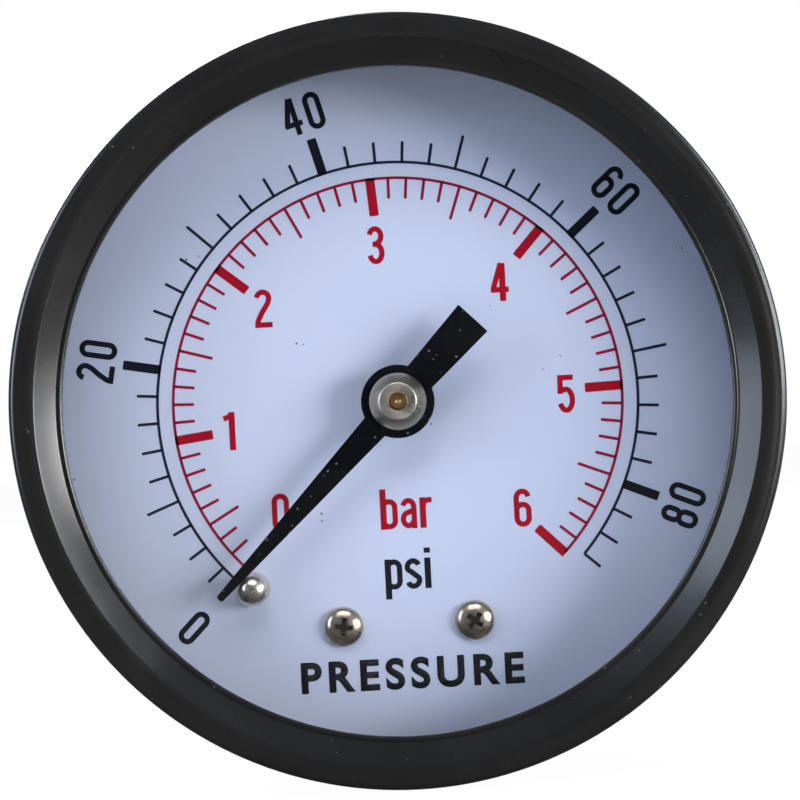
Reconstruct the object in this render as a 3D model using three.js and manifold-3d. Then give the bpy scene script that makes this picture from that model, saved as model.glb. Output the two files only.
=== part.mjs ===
// A dial pressure gauge of nominal size 50 with a back (axial) G1/4 connection.
// Millimetres. The origin is the centre of the stem's end face. +Y runs out of the stem,
// the dial looks towards -Y, and +Z points to 12 o'clock. A turn that looks clockwise to
// someone reading the dial is a positive turn about +Y.
//
// Inside, a C-shaped Bourdon tube is soldered into the socket at 6 o'clock. Its free tip
// pulls a link, the link turns a toothed sector, and the sector turns the pointer's pinion.

import * as THREE from 'three';
import { mergeVertices } from 'three/addons/utils/BufferGeometryUtils.js';
import Module from 'manifold-3d';

const wasm = await Module();
wasm.setup();

// ---- Driving dimensions ----

// Case and window
const BEZEL_RADIUS = 26.5; // rolled rim
const BODY_RADIUS = 25;
const CASE_WALL = 0.7;
const CASE_BACK = -22.3; // outer face of the back
const RIM_FRONT = -50.3;
const LIP_RADIUS = 22.95; // lip in front of the window
const WINDOW_FRONT = -48.4;
const WINDOW_RADIUS = 24.15;
const WINDOW_THICKNESS = 1.5;

// Dial
const DIAL_BACK = -40.3;
const DIAL_THICKNESS = 0.5;
const DIAL_RADIUS = 24;
const DIAL_SCREW_X = 4.65;
const DIAL_SCREW_Z = -15.7;
const STOP_PIN_CIRCLE = 16.7;
const STOP_PIN_ANGLE = 229.3; // degrees, anticlockwise from 3 o'clock

// Pointer
const POINTER_BACK = -43.3;
const POINTER_THICKNESS = 0.3;
const POINTER_REST = 225; // degrees, anticlockwise from 3 o'clock
const POINTER_LENGTH = 18.7;
const POINTER_TAIL = 7.88;
const POINTER_HUB = 2.58;

// Socket: G1/4 stem, square for a 14 mm spanner, and the block inside the case
const THREAD_RADIUS = 6.578;
const THREAD_ROOT = 5.722;
const THREAD_PITCH = 1.337;
const THREAD_END = -12;
const SQUARE_FRONT = -21.5;
const SQUARE_BACK = -13.2;
const SQUARE_ACROSS_FLATS = 14;
const SHOULDER_RADIUS = 8;
const SEAT = CASE_BACK - CASE_WALL - 0.05; // socket's face against the case back
const BOSS_FRONT = -29; // face that carries the movement
const BLOCK_HALF_WIDTH = 6.5;
const BLOCK_TOP = -12.9;
const BLOCK_BOTTOM = -20.5;
const CASE_SCREW_X = 11;

// Bourdon tube
const TUBE_RADIUS = 19; // of its centre line
const TUBE_THICKNESS = 2.2;
const TUBE_WIDTH = 8;
const TUBE_WALL = 0.3;
const TUBE_MIDDLE = -32; // depth of its middle
const TUBE_ROOT_ANGLE = 253.5;
const TUBE_TIP_ANGLE = -8;

// Movement
const PLATE_THICKNESS = 0.8;
const BOTTOM_PLATE = BOSS_FRONT - 0.03; // back face of each plate
const TOP_PLATE = -36;
const SECTOR_PIVOT = [8.2, -5.5];
const SECTOR_BACK = -32.4;
const SECTOR_THICKNESS = 0.8;
const PINION_TEETH = 12;
const SECTOR_TEETH = 120; // on a whole circle
const GEAR_MODULE = (2 * Math.hypot(...SECTOR_PIVOT)) / (PINION_TEETH + SECTOR_TEETH);
const TAIL_LENGTH = 4.4;
const TAIL_ANGLE = -48.5;
const TIP_PIN = [15, -4.5];
const LINK_BACK = -33.5;
const LINK_THICKNESS = 0.6;
const PILLARS = [[-6, 5], [9.2, 3.6], [3.4, -10.8]];
const MOVEMENT_SCREWS = [[-3.4, 3.2], [-2.4, -9]];
const PINION_BACK = -31.4;
const COLLET_BACK = -34.75;
const COLLET_FRONT = -35.7;
const HAIRSPRING_BACK = -35.05;
const HAIRSPRING_STUD = [-5, 0.8];

const FINISH = {
  blackPaint: { color: 0x17181a, roughness: 0.25, metalness: 0 },
  clearPlastic: { color: 0xf2f5f7, roughness: 0.05, metalness: 0, transparent: true, opacity: 0.25 },
  dialWhite: { color: 0xdfe2ee, roughness: 0.45, metalness: 0 },
  pointerBlack: { color: 0x101114, roughness: 0.45, metalness: 0 },
  nickel: { color: 0xc9c8c2, roughness: 0.22, metalness: 1 },
  brass: { color: 0xc8a050, roughness: 0.32, metalness: 1 },
  bronze: { color: 0xb98a4e, roughness: 0.35, metalness: 1 },
  steel: { color: 0xa9abad, roughness: 0.35, metalness: 1 },
};

// ---- Helpers ----

const radians = THREE.MathUtils.degToRad;

/** A point at a radius and an angle in degrees, anticlockwise from 3 o'clock. */
function polar(radius, degrees, centre = [0, 0]) {
  const angle = radians(degrees);
  return [centre[0] + radius * Math.cos(angle), centre[1] + radius * Math.sin(angle)];
}

/** Points along an arc between two angles in degrees. */
function arc(x, y, radius, from, to, steps) {
  return Array.from({ length: steps + 1 }, (_, i) =>
    polar(radius, from + ((to - from) * i) / steps, [x, y]),
  );
}

function circle([x, y], radius, sides = 14) {
  return arc(x, y, radius, 0, 360 - 360 / sides, sides - 1);
}

/** The outline round circles of one radius at an anticlockwise ring of corners. */
function rounded(corners, radius, steps = 5) {
  return corners.flatMap(([x, y], i) => {
    const before = corners[(i + corners.length - 1) % corners.length];
    const after = corners[(i + 1) % corners.length];
    const arriving = THREE.MathUtils.radToDeg(Math.atan2(y - before[1], x - before[0])) - 90;
    const leaving = THREE.MathUtils.radToDeg(Math.atan2(after[1] - y, after[0] - x)) - 90;
    const turn = THREE.MathUtils.euclideanModulo(leaving - arriving, 360);
    return arc(x, y, radius, arriving, arriving + turn, steps);
  });
}

/** An annular sector between two radii and two angles in degrees. */
function ringSector(inner, outer, from, to, steps, centre = [0, 0]) {
  return [...arc(...centre, outer, from, to, steps), ...arc(...centre, inner, to, from, steps)];
}

/** A geometry with shared vertices, no collapsed triangles and its faces pointing out. */
function closed(geometry) {
  geometry.deleteAttribute('normal');
  geometry.deleteAttribute('uv');
  const merged = mergeVertices(geometry, 1e-4);
  const corners = merged.index.array;
  const position = merged.attributes.position;
  const [a, b, c] = [new THREE.Vector3(), new THREE.Vector3(), new THREE.Vector3()];
  const kept = [];
  let volume = 0;
  for (let i = 0; i < corners.length; i += 3) {
    const [p, q, r] = corners.slice(i, i + 3);
    if (p === q || q === r || r === p) continue;
    a.fromBufferAttribute(position, p);
    b.fromBufferAttribute(position, q);
    c.fromBufferAttribute(position, r);
    volume += a.dot(b.cross(c));
    kept.push([p, q, r]);
  }
  merged.setIndex(kept.flatMap(([p, q, r]) => (volume > 0 ? [p, q, r] : [p, r, q])));
  return merged;
}

/** A turned shape about the Y axis from [radius, y] points. */
function turned(profile, sides = 14) {
  return closed(new THREE.LatheGeometry(profile.map(([radius, y]) => new THREE.Vector2(radius, y)), sides));
}

/** A turned ring: its profile closes on itself. */
function turnedRing(profile, sides = 14) {
  return turned([...profile, profile[0]], sides);
}

/** A flat piece in the dial's plane. It grows from its back face towards the dial's front. */
function plate(outline, back, thickness, holes = []) {
  const shape = new THREE.Shape(outline.map((point) => new THREE.Vector2(...point)));
  shape.holes = holes.map((hole) => new THREE.Path(hole.map((point) => new THREE.Vector2(...point))));
  const geometry = new THREE.ExtrudeGeometry(shape, { depth: thickness, bevelEnabled: false });
  return closed(geometry.rotateX(Math.PI / 2).translate(0, back, 0));
}

/** A plain cylinder along Y at an [x, z] place, from one depth to another. */
function post([x, z], radius, from, to, sides = 14) {
  const geometry = new THREE.CylinderGeometry(radius, radius, Math.abs(to - from), sides);
  return closed(geometry.translate(x, (from + to) / 2, z));
}

function solidOf(geometry) {
  const mesh = new wasm.Mesh({
    numProp: 3,
    vertProperties: new Float32Array(geometry.attributes.position.array),
    triVerts: new Uint32Array(geometry.index.array),
  });
  return new wasm.Manifold(mesh);
}

function geometryOf(solid) {
  const mesh = solid.getMesh();
  const geometry = new THREE.BufferGeometry();
  geometry.setAttribute('position', new THREE.BufferAttribute(mesh.vertProperties, 3));
  geometry.setIndex(new THREE.BufferAttribute(mesh.triVerts, 1));
  return geometry;
}

function joined(...geometries) {
  return geometryOf(geometries.map(solidOf).reduce((sum, next) => sum.add(next)));
}

function cut(geometry, ...tools) {
  return geometryOf(tools.map(solidOf).reduce((rest, tool) => rest.subtract(tool), solidOf(geometry)));
}

function common(geometry, other) {
  return geometryOf(solidOf(geometry).intersect(solidOf(other)));
}

const gauge = new THREE.Group();

function add(name, geometry, finish, [x, z] = [0, 0], turn = 0) {
  const mesh = new THREE.Mesh(geometry, new THREE.MeshStandardMaterial(FINISH[finish]));
  mesh.name = name;
  mesh.position.set(x, 0, z);
  mesh.rotation.y = turn;
  gauge.add(mesh);
}

// ---- Fasteners ----

/** A cross recess, as a cutter of two crossed bars sunk from `face` towards `bottom`. */
function crossRecess(size, face, bottom) {
  const middle = (face + bottom) / 2;
  const depth = Math.abs(face - bottom);
  const across = closed(new THREE.BoxGeometry(size, depth, size * 0.24).translate(0, middle, 0));
  const upright = closed(new THREE.BoxGeometry(size * 0.24, depth, size).translate(0, middle, 0));
  return joined(across, upright);
}

/**
 * A domed cross-head screw along Y. `under` is the face below the head, `towards` is -1 for
 * a head at the dial's side and +1 for a head at the back.
 */
function domedScrew(headRadius, headHeight, shankRadius, length, under, towards) {
  const dome = arc(0, 0, 1, 90, 18, 3).map(([r, h]) => [headRadius * r, under + towards * headHeight * h]);
  const body = turned([
    ...dome,
    [headRadius, under],
    [shankRadius, under],
    [shankRadius, under - towards * (length - 0.3)],
    [shankRadius - 0.3, under - towards * length],
    [0, under - towards * length],
  ]);
  const face = under + towards * (headHeight + 0.5);
  const bottom = under + towards * headHeight * 0.35;
  return cut(body, crossRecess(headRadius * 1.15, face, bottom));
}

/** A slotted cheese-head screw, its head towards the dial. */
function slottedScrew(headRadius, headHeight, shankRadius, length, under) {
  const front = under - headHeight;
  const body = turned([
    [0, front],
    [headRadius - 0.12, front],
    [headRadius, front + 0.12],
    [headRadius, under],
    [shankRadius, under],
    [shankRadius, under + length],
    [0, under + length],
  ]);
  const slot = closed(new THREE.BoxGeometry(headRadius * 3, headHeight, 0.35).translate(0, front, 0));
  return cut(body, slot);
}

// ---- Case ----

/** Pressed steel cup with a rolled rim. The lip behind the rim holds the window. */
function caseShell() {
  const inner = WINDOW_RADIUS + 0.1;
  const groove = WINDOW_FRONT - 0.1;
  const shell = turnedRing(
    [
      [SHOULDER_RADIUS + 0.2, CASE_BACK],
      ...arc(BODY_RADIUS - 1.8, CASE_BACK - 1.8, 1.8, 90, 0, 3),
      [BODY_RADIUS, RIM_FRONT + 2.9],
      [BEZEL_RADIUS - 0.5, RIM_FRONT + 2.1],
      ...arc(BEZEL_RADIUS - 0.9, RIM_FRONT + 0.9, 0.9, 30, -90, 4),
      [BEZEL_RADIUS - 1.35, RIM_FRONT + 0.2],
      [BEZEL_RADIUS - 1.9, RIM_FRONT + 0.6],
      [LIP_RADIUS, groove - 0.15],
      [LIP_RADIUS, groove],
      [inner, groove],
      [inner, DIAL_BACK],
      [BODY_RADIUS - CASE_WALL, DIAL_BACK],
      ...arc(BODY_RADIUS - 1.8, CASE_BACK - 1.8, 1.8 - CASE_WALL, 0, 90, 2),
      [SHOULDER_RADIUS + 0.2, CASE_BACK - CASE_WALL],
    ],
    48,
  );
  const holes = [-CASE_SCREW_X, CASE_SCREW_X].map((x) => post([x, 0], 1.6, SEAT - 0.2, CASE_BACK + 1));
  return cut(shell, ...holes);
}

/** Clear snap-in window: a disc with a skirt that stops just short of the dial. */
function windowPane() {
  const back = WINDOW_FRONT + WINDOW_THICKNESS;
  const skirt = WINDOW_RADIUS - 0.15;
  const skirtEnd = DIAL_BACK - DIAL_THICKNESS - 0.2;
  return turned(
    [
      [0, WINDOW_FRONT],
      [WINDOW_RADIUS - 0.5, WINDOW_FRONT],
      [WINDOW_RADIUS - 0.35, WINDOW_FRONT + 0.15],
      [WINDOW_RADIUS, WINDOW_FRONT + 0.15],
      [WINDOW_RADIUS, WINDOW_FRONT + 1],
      [skirt, WINDOW_FRONT + 1.15],
      [skirt, skirtEnd],
      [skirt - 0.45, skirtEnd],
      [skirt - 0.6, back + 0.1],
      [skirt - 0.7, back],
      [0, back],
    ],
    48,
  );
}

add('case', caseShell(), 'blackPaint');
add('window', windowPane(), 'clearPlastic');
[['case_screw_left', -CASE_SCREW_X], ['case_screw_right', CASE_SCREW_X]].forEach(([name, x]) => {
  add(name, domedScrew(2.75, 1.7, 1.2, 4.4, CASE_BACK + 0.05, 1), 'nickel', [x, 0]);
});

// ---- Dial and what is fixed to it ----

const stopPinPlace = polar(STOP_PIN_CIRCLE, STOP_PIN_ANGLE);
const dialFront = DIAL_BACK - DIAL_THICKNESS;

function dialDisc() {
  return plate(circle([0, 0], DIAL_RADIUS, 48), DIAL_BACK, DIAL_THICKNESS, [
    circle([0, 0], 2.3, 20),
    circle([-DIAL_SCREW_X, DIAL_SCREW_Z], 0.95),
    circle([DIAL_SCREW_X, DIAL_SCREW_Z], 0.95),
    circle(stopPinPlace, 0.66),
  ]);
}

/** Domed stop for the pointer, riveted through the dial. */
function stopPin() {
  const head = 1.2;
  const crown = -42.5;
  return turned([
    [0, DIAL_BACK + 0.5],
    [0.9, DIAL_BACK + 0.5],
    [0.9, DIAL_BACK + 0.05],
    [0.6, DIAL_BACK + 0.05],
    [0.6, dialFront - 0.05],
    [head, dialFront - 0.05],
    ...arc(0, crown, head, 0, -90, 4),
  ]);
}

add('dial', dialDisc(), 'dialWhite');
[['dial_screw_left', -DIAL_SCREW_X], ['dial_screw_right', DIAL_SCREW_X]].forEach(([name, x]) => {
  add(name, domedScrew(1.4, 0.9, 0.75, 3.6, dialFront - 0.05, -1), 'nickel', [x, DIAL_SCREW_Z]);
});
add('stop_pin', stopPin(), 'nickel', stopPinPlace);

// ---- Pointer, its bush and the pinion shaft ----

/** Needle, hub disc and counterweight tail, cut from one sheet and drawn at 12 o'clock. */
function pointerBlade() {
  const tip = 0.27;
  const root = 0.95;
  const tailRoot = 1.14;
  const tailEnd = 1.385;
  const rootAngle = THREE.MathUtils.radToDeg(Math.acos(root / POINTER_HUB));
  const tailAngle = THREE.MathUtils.radToDeg(Math.acos(tailRoot / POINTER_HUB));
  return plate(
    [
      [-tip + 0.1, POINTER_LENGTH],
      [-tip, POINTER_LENGTH - 0.12],
      ...arc(0, 0, POINTER_HUB, 180 - rootAngle, 180 + tailAngle, 5),
      [-tailEnd, -POINTER_TAIL],
      [tailEnd, -POINTER_TAIL],
      ...arc(0, 0, POINTER_HUB, -tailAngle, rootAngle, 5),
      [tip, POINTER_LENGTH - 0.12],
      [tip - 0.1, POINTER_LENGTH],
    ],
    POINTER_BACK,
    POINTER_THICKNESS,
    [circle([0, 0], 1.3, 16)],
  );
}

/** Turned bush. The blade is held between its two collars. */
function pointerBush() {
  const front = POINTER_BACK - POINTER_THICKNESS;
  return turnedRing([
    [0.57, POINTER_BACK + 0.6],
    [1.75, POINTER_BACK + 0.6],
    [1.75, POINTER_BACK + 0.05],
    [1.24, POINTER_BACK + 0.05],
    [1.24, front - 0.05],
    [2, front - 0.05],
    [2, front - 0.35],
    [1.32, front - 1.05],
    [0.57, front - 1.05],
  ]);
}

/** Half the angle that a tooth covers at a radius, in degrees, with involute flanks. */
function halfToothAngle(teeth, radius, play) {
  const pitchRadius = (GEAR_MODULE * teeth) / 2;
  const baseRadius = pitchRadius * Math.cos(radians(20));
  const involute = (r) => {
    const pressure = Math.acos(Math.min(1, baseRadius / r));
    return Math.tan(pressure) - pressure;
  };
  const half = Math.PI / (2 * teeth) - play / (2 * pitchRadius);
  return THREE.MathUtils.radToDeg(half + involute(pitchRadius) - involute(radius));
}

/** Outline points of teeth at the given angles, from one root to the next. */
function toothRow(teeth, angles, play, centre = [0, 0]) {
  const pitchRadius = (GEAR_MODULE * teeth) / 2;
  const heights = [-1.15, -0.4, 0, 0.45, 0.8];
  const flank = heights.map((height) => {
    const radius = pitchRadius + height * GEAR_MODULE;
    return [radius, halfToothAngle(teeth, radius, play)];
  });
  return angles.flatMap((angle) => [
    ...flank.map(([radius, half]) => polar(radius, angle - half, centre)),
    ...flank.toReversed().map(([radius, half]) => polar(radius, angle + half, centre)),
  ]);
}

const gearPlay = 0.05;
const sectorDirection = THREE.MathUtils.radToDeg(Math.atan2(SECTOR_PIVOT[1], SECTOR_PIVOT[0]));

/** Shaft with its 12-leaf pinion. A space between leaves faces the sector at rest. */
function pinionShaft() {
  const end = POINTER_BACK - POINTER_THICKNESS - 1.3;
  const shaft = turned([
    [0, BOTTOM_PLATE - 0.1],
    [0.4, BOTTOM_PLATE - 0.1],
    [0.4, BOTTOM_PLATE - PLATE_THICKNESS - 0.1],
    [0.7, BOTTOM_PLATE - PLATE_THICKNESS - 0.1],
    [0.7, COLLET_BACK + 0.25],
    [0.5, COLLET_BACK + 0.25],
    [0.5, end + 0.1],
    [0.42, end],
    [0.2, end],
    [0, end + 0.15],
  ]);
  const step = 360 / PINION_TEETH;
  const angles = Array.from({ length: PINION_TEETH }, (_, i) => sectorDirection + step * (i + 0.5));
  return joined(shaft, plate(toothRow(PINION_TEETH, angles, gearPlay), PINION_BACK, 3));
}

function collet() {
  return turnedRing([
    [0.57, COLLET_BACK],
    [1.1, COLLET_BACK],
    [1.1, COLLET_FRONT],
    [0.57, COLLET_FRONT],
  ]);
}

add('pointer', pointerBlade(), 'pointerBlack', [0, 0], radians(90 - POINTER_REST));
add('pointer_bush', pointerBush(), 'nickel');
add('pinion_shaft', pinionShaft(), 'brass');
add('hairspring_collet', collet(), 'brass');

// ---- Hairspring ----

/** Flat spiral that takes the play out of the teeth, from the collet to its stud. */
function hairspring() {
  const turns = 4;
  const first = 1.2;
  const last = Math.hypot(...HAIRSPRING_STUD) - 0.55;
  const end = THREE.MathUtils.radToDeg(Math.atan2(HAIRSPRING_STUD[1], HAIRSPRING_STUD[0]));
  const steps = turns * 16;
  const side = (offset) =>
    Array.from({ length: steps + 1 }, (_, i) =>
      polar(first + ((last - first) * i) / steps + offset, end - 360 * turns * (1 - i / steps)),
    );
  return plate([...side(0.05), ...side(-0.05).toReversed()], HAIRSPRING_BACK, 0.4);
}

/** Small post in the top plate that holds the hairspring's outer end. */
function springStud() {
  const back = HAIRSPRING_BACK + 0.25;
  const front = TOP_PLATE - PLATE_THICKNESS - 0.15;
  return turned([[0, back], [0.45, back], [0.45, front], [0, front]]);
}

add('hairspring', hairspring(), 'bronze');
add('hairspring_stud', springStud(), 'brass', HAIRSPRING_STUD);

// ---- Movement plates, pillars and screws ----

const plateOutline = rounded([[-6, -9], [-0.6, -10.9], [3.4, -10.8], [9, -6.4], [9.4, 3.4], [-6, 5]], 1.7);

add(
  'movement_bottom_plate',
  plate(plateOutline, BOTTOM_PLATE, PLATE_THICKNESS, [
    circle([0, 0], 0.46),
    circle(SECTOR_PIVOT, 0.46),
    ...PILLARS.map((place) => circle(place, 0.7)),
    ...MOVEMENT_SCREWS.map((place) => circle(place, 0.85)),
  ]),
  'brass',
);
add(
  'movement_top_plate',
  plate(plateOutline, TOP_PLATE, PLATE_THICKNESS, [
    circle([0, 0], 0.56),
    circle(SECTOR_PIVOT, 0.46),
    circle(HAIRSPRING_STUD, 0.5),
    ...PILLARS.map((place) => circle(place, 0.62)),
    ...MOVEMENT_SCREWS.map((place) => circle(place, 1.6)),
  ]),
  'brass',
);

/** Pillar with a spigot riveted in the bottom plate and a tapped hole for the top screw. */
function pillar() {
  const foot = BOTTOM_PLATE - PLATE_THICKNESS - 0.03;
  const head = TOP_PLATE + 0.03;
  return turned([
    [0, BOTTOM_PLATE - 0.05],
    [0.65, BOTTOM_PLATE - 0.05],
    [0.65, foot],
    [1.25, foot],
    [1.25, head],
    [0.55, head],
    [0.55, head + 2.6],
    [0, head + 2.6],
  ]);
}

const platesFront = TOP_PLATE - PLATE_THICKNESS;
const bottomPlateFront = BOTTOM_PLATE - PLATE_THICKNESS;
PILLARS.forEach((place, i) => {
  add(`pillar_${i + 1}`, pillar(), 'brass', place);
  add(`plate_screw_${i + 1}`, slottedScrew(1.15, 0.7, 0.48, 2.9, platesFront - 0.04), 'brass', place);
});
MOVEMENT_SCREWS.forEach((place, i) => {
  add(`movement_screw_${i + 1}`, slottedScrew(1.45, 0.9, 0.7, 3.4, bottomPlateFront - 0.04), 'brass', place);
});

// ---- Sector, its arbor and the link ----

const tailPin = polar(TAIL_LENGTH, TAIL_ANGLE, SECTOR_PIVOT);

/** Toothed segment with two spokes, and a tail that the link pulls. */
function sectorGear() {
  const pitchRadius = (GEAR_MODULE * SECTOR_TEETH) / 2;
  const step = 360 / SECTOR_TEETH;
  const mesh = sectorDirection + 180;
  const angles = Array.from({ length: 13 }, (_, i) => mesh + step * (i - 11));
  const low = angles[0] - step;
  const high = angles[12] + step;
  const flat = (outline) => plate(outline, SECTOR_BACK, SECTOR_THICKNESS);
  const teeth = flat([
    ...toothRow(SECTOR_TEETH, angles, gearPlay, SECTOR_PIVOT),
    ...arc(...SECTOR_PIVOT, pitchRadius - 1.8, high - 1, low + 1, 12),
  ]);
  const spokes = [low + 3, high - 3].map((angle) =>
    flat(rounded([SECTOR_PIVOT, polar(pitchRadius - 1, angle, SECTOR_PIVOT)], 0.7)),
  );
  const tail = flat(rounded([SECTOR_PIVOT, tailPin], 1.05));
  const hub = flat(circle(SECTOR_PIVOT, 1.8));
  const through = [SECTOR_BACK + 1, SECTOR_BACK - SECTOR_THICKNESS - 1];
  return cut(
    joined(teeth, ...spokes, tail, hub),
    post(SECTOR_PIVOT, 0.64, ...through),
    post(tailPin, 0.44, ...through),
  );
}

function sectorArbor() {
  const front = SECTOR_BACK - SECTOR_THICKNESS;
  return turned([
    [0, BOTTOM_PLATE - 0.1],
    [0.4, BOTTOM_PLATE - 0.1],
    [0.4, bottomPlateFront - 0.1],
    [0.9, bottomPlateFront - 0.1],
    [0.9, SECTOR_BACK + 0.5],
    [1.4, SECTOR_BACK + 0.5],
    [1.4, SECTOR_BACK + 0.04],
    [0.6, SECTOR_BACK + 0.04],
    [0.6, front - 0.04],
    [0.9, front - 0.04],
    [0.9, TOP_PLATE + 0.15],
    [0.4, TOP_PLATE + 0.15],
    [0.4, TOP_PLATE - 0.75],
    [0, TOP_PLATE - 0.75],
  ]);
}

/** Riveted pin that carries one end of the link. */
function linkPin() {
  const front = SECTOR_BACK - SECTOR_THICKNESS;
  const linkFront = LINK_BACK - LINK_THICKNESS;
  return turned([
    [0, SECTOR_BACK + 0.35],
    [0.62, SECTOR_BACK + 0.35],
    [0.62, SECTOR_BACK + 0.04],
    [0.4, SECTOR_BACK + 0.04],
    [0.4, front - 0.04],
    [0.62, front - 0.04],
    [0.62, LINK_BACK + 0.06],
    [0.4, LINK_BACK + 0.06],
    [0.4, linkFront - 0.08],
    [0.72, linkFront - 0.08],
    [0.6, linkFront - 0.4],
    [0, linkFront - 0.4],
  ]);
}

add('sector_gear', sectorGear(), 'brass');
add('sector_arbor', sectorArbor(), 'steel', SECTOR_PIVOT);
add('sector_link_pin', linkPin(), 'steel', tailPin);
add('tip_link_pin', linkPin(), 'steel', TIP_PIN);
add(
  'link',
  plate(rounded([tailPin, TIP_PIN], 0.95), LINK_BACK, LINK_THICKNESS, [
    circle(tailPin, 0.57),
    circle(TIP_PIN, 0.47),
  ]),
  'brass',
);

// ---- Bourdon tube and its end piece ----

/** Flattened tube bent round a C, open at both ends. */
function bourdonTube() {
  const section = (wall) => {
    const end = TUBE_THICKNESS / 2;
    const half = (TUBE_WIDTH - TUBE_THICKNESS) / 2;
    return [...arc(half, 0, end - wall, -90, 90, 3), ...arc(-half, 0, end - wall, 90, 270, 3)];
  };
  const shape = new THREE.Shape(section(0).map((point) => new THREE.Vector2(...point)));
  shape.holes.push(new THREE.Path(section(TUBE_WALL).map((point) => new THREE.Vector2(...point))));
  class CentreLine extends THREE.Curve {
    getPoint(t) {
      const [x, z] = polar(TUBE_RADIUS, TUBE_ROOT_ANGLE + (TUBE_TIP_ANGLE - TUBE_ROOT_ANGLE) * t);
      return new THREE.Vector3(x, TUBE_MIDDLE, z);
    }
  }
  return closed(new THREE.ExtrudeGeometry(shape, { steps: 32, extrudePath: new CentreLine() }));
}

/** Brass cap soldered on the tip: a spigot inside the tube and a lug for the link. */
function tubeEndPiece() {
  const inner = TUBE_RADIUS - TUBE_THICKNESS / 2 - 0.15;
  const outer = TUBE_RADIUS + TUBE_THICKNESS / 2 + 0.15;
  const front = TUBE_MIDDLE + TUBE_WIDTH / 2 + 0.1;
  const capOutline = ringSector(inner, outer, TUBE_TIP_ANGLE - 5, TUBE_TIP_ANGLE - 0.3, 3);
  const cap = plate(capOutline, front, TUBE_WIDTH + 0.2);
  const spigot = plate(
    ringSector(TUBE_RADIUS - 0.5, TUBE_RADIUS + 0.5, TUBE_TIP_ANGLE - 2, TUBE_TIP_ANGLE + 5, 3),
    TUBE_MIDDLE + 2.8,
    5.6,
  );
  const lugRoot = polar(TUBE_RADIUS - 0.4, TUBE_TIP_ANGLE - 4.6);
  const lug = plate(rounded([TIP_PIN, lugRoot], 1.1), SECTOR_BACK, SECTOR_THICKNESS);
  return cut(joined(cap, spigot, lug), post(TIP_PIN, 0.44, SECTOR_BACK + 1, SECTOR_BACK - 2));
}

add('bourdon_tube', bourdonTube(), 'bronze');
add('tube_end_piece', tubeEndPiece(), 'brass');

// ---- Socket ----

/** One right-handed screw thread ridge, as a closed swept trapezium. */
function threadRidge() {
  const sides = 20;
  const turns = Math.abs(THREAD_END) / THREAD_PITCH;
  const steps = Math.round(turns * sides);
  const foot = THREAD_PITCH * 0.46;
  const crest = THREAD_PITCH * 0.1;
  const section = [
    [THREAD_ROOT - 0.15, -foot],
    [THREAD_RADIUS, -crest],
    [THREAD_RADIUS, crest],
    [THREAD_ROOT - 0.15, foot],
  ];
  const positions = [];
  const index = [];
  for (let i = 0; i <= steps; i += 1) {
    const angle = (2 * Math.PI * i) / sides;
    const y = THREAD_END + (THREAD_PITCH * i) / sides;
    section.forEach(([radius, offset]) => {
      positions.push(radius * Math.cos(angle), y + offset, -radius * Math.sin(angle));
    });
    if (i === steps) continue;
    section.forEach((_, k) => {
      const [a, b] = [i * 4 + k, i * 4 + ((k + 1) % 4)];
      index.push(a, b, a + 4, b, b + 4, a + 4);
    });
  }
  const last = steps * 4;
  index.push(0, 2, 1, 0, 3, 2, last, last + 1, last + 2, last, last + 2, last + 3);
  const geometry = new THREE.BufferGeometry();
  geometry.setAttribute('position', new THREE.Float32BufferAttribute(positions, 3));
  geometry.setIndex(index);
  return closed(geometry);
}

function stem() {
  const thread = joined(threadRidge(), post([0, 0], THREAD_ROOT, 0, THREAD_END, 20));
  const envelope = turned(
    [
      [0, 0],
      [THREAD_ROOT - 0.2, 0],
      [THREAD_RADIUS + 0.1, -1.1],
      [THREAD_RADIUS + 0.1, THREAD_END + 0.7],
      [THREAD_ROOT - 0.1, THREAD_END],
      [0, THREAD_END],
    ],
    20,
  );
  const relief = post([0, 0], THREAD_ROOT - 0.2, THREAD_END + 0.2, SQUARE_BACK, 20);
  const half = SQUARE_ACROSS_FLATS / 2;
  const squareDepth = SQUARE_BACK - SQUARE_FRONT;
  const bar = closed(
    new THREE.BoxGeometry(2 * half, squareDepth, 2 * half).translate(0, SQUARE_BACK - squareDepth / 2, 0),
  );
  const turnedCorners = turned(
    [
      [0, SQUARE_BACK],
      [half - 0.3, SQUARE_BACK],
      [SHOULDER_RADIUS, SQUARE_BACK - 0.9],
      [SHOULDER_RADIUS, SQUARE_FRONT],
      [0, SQUARE_FRONT],
    ],
    36,
  );
  const shoulder = post([0, 0], SHOULDER_RADIUS, SQUARE_FRONT + 0.01, SEAT - 0.5, 36);
  return joined(common(thread, envelope), relief, common(bar, turnedCorners), shoulder);
}

/** The inside of the socket: ears for the case screws, the movement's boss, the tube block. */
function innerBlock() {
  const ears = plate(rounded([[-CASE_SCREW_X, 0], [CASE_SCREW_X, 0]], 3.2), SEAT, 3);
  const seat = post([0, 0], 9.2, SEAT, SEAT - 3, 28);
  const boss = plate(rounded([[0, -14], [0, 0]], 5.6, 10), SEAT, SEAT - BOSS_FRONT);
  const corner = 0.6;
  const [left, right] = [-BLOCK_HALF_WIDTH + corner, BLOCK_HALF_WIDTH - corner];
  const [low, high] = [BLOCK_BOTTOM + corner, BLOCK_TOP - corner];
  const block = plate(
    rounded([[left, low], [right, low], [right, high], [left, high]], corner, 3),
    SEAT,
    SEAT - DIAL_BACK - 0.05,
  );
  return joined(ears, seat, boss, block);
}

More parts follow.
